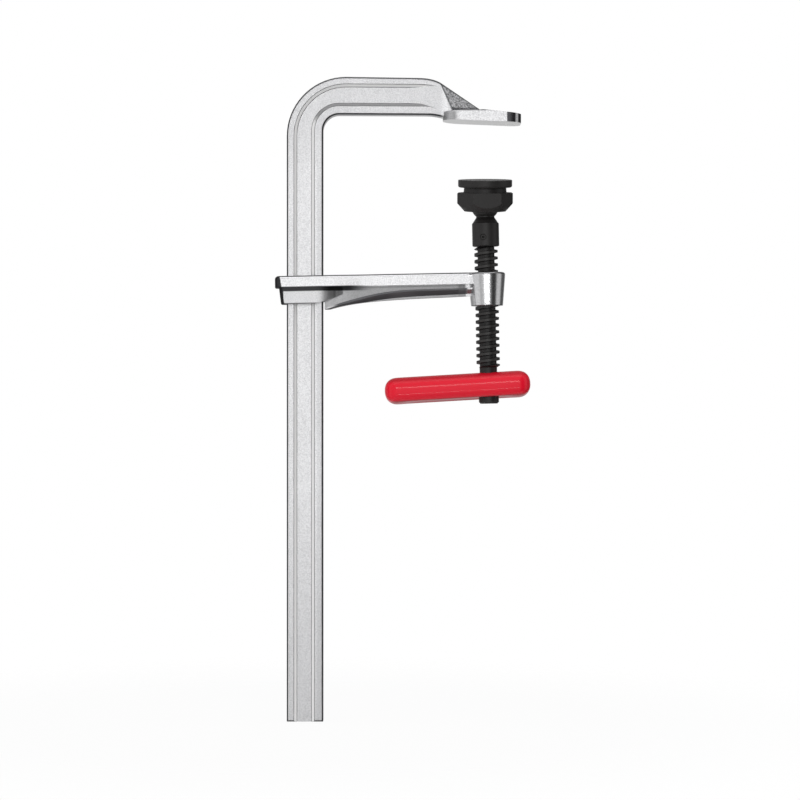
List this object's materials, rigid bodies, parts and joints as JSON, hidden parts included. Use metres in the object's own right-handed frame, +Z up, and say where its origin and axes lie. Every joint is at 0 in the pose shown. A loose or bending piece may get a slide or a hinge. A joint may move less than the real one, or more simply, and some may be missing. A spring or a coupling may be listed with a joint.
{
  "type": "f clamp",
  "caption": "All-steel bar clamp: grooved rail with a bent-over jaw, sliding arm, threaded spindle with a swivel pressure pad and a red vinyl-coated crank handle.",
  "frame": {"origin": "centre of the rail's free end face", "axes": "+Z up along the rail to the bent-over jaw, +X from the rail toward the jaw's tip, the front faces -Y"},
  "size_m": [0.19, 0.0404, 0.4788],
  "materials": {
    "satin_steel": "satin",
    "black_steel": "satin",
    "plain_steel": "satin",
    "red_vinyl": "gloss"
  },
  "bodies": {
    "rail": {"rail": "satin_steel"},
    "arm": {"sliding_arm": "satin_steel"},
    "swivel_sleeve": {"ball_sleeve": "black_steel", "sleeve_pin": "black_steel"},
    "spindle": {"spindle": "black_steel", "handle_core": "plain_steel", "handle_grip": "red_vinyl", "handle_pin": "plain_steel"},
    "pad": {"pad_nut": "black_steel", "pad_disc": "black_steel"}
  },
  "joints": [
    {"name": "arm_slide", "type": "slide", "parent": "rail", "child": "arm", "axis": [0, 0, 1], "range_m": [-0.3, 0.001]},
    {"name": "screw_advance", "type": "slide", "parent": "arm", "child": "swivel_sleeve", "axis": [-0.0201, 0, 0.9998], "range_m": [-0.018, 0.036]},
    {"name": "spindle_turn", "type": "hinge", "parent": "swivel_sleeve", "child": "spindle", "pos_m": [0.13492, 0, 0.33376], "axis": [-0.0201, 0, 0.9998], "range_deg": [-1296, 2592]},
    {"name": "pad_tilt", "type": "hinge", "parent": "swivel_sleeve", "child": "pad", "pos_m": [0.13393, 0, 0.38345], "axis": [1, 0, 0], "range_deg": [-22, 8]}
  ],
  "couplings": [
    {"joint": "screw_advance", "follows": "spindle_turn", "m_per_rad": 0.00079577}
  ]
}
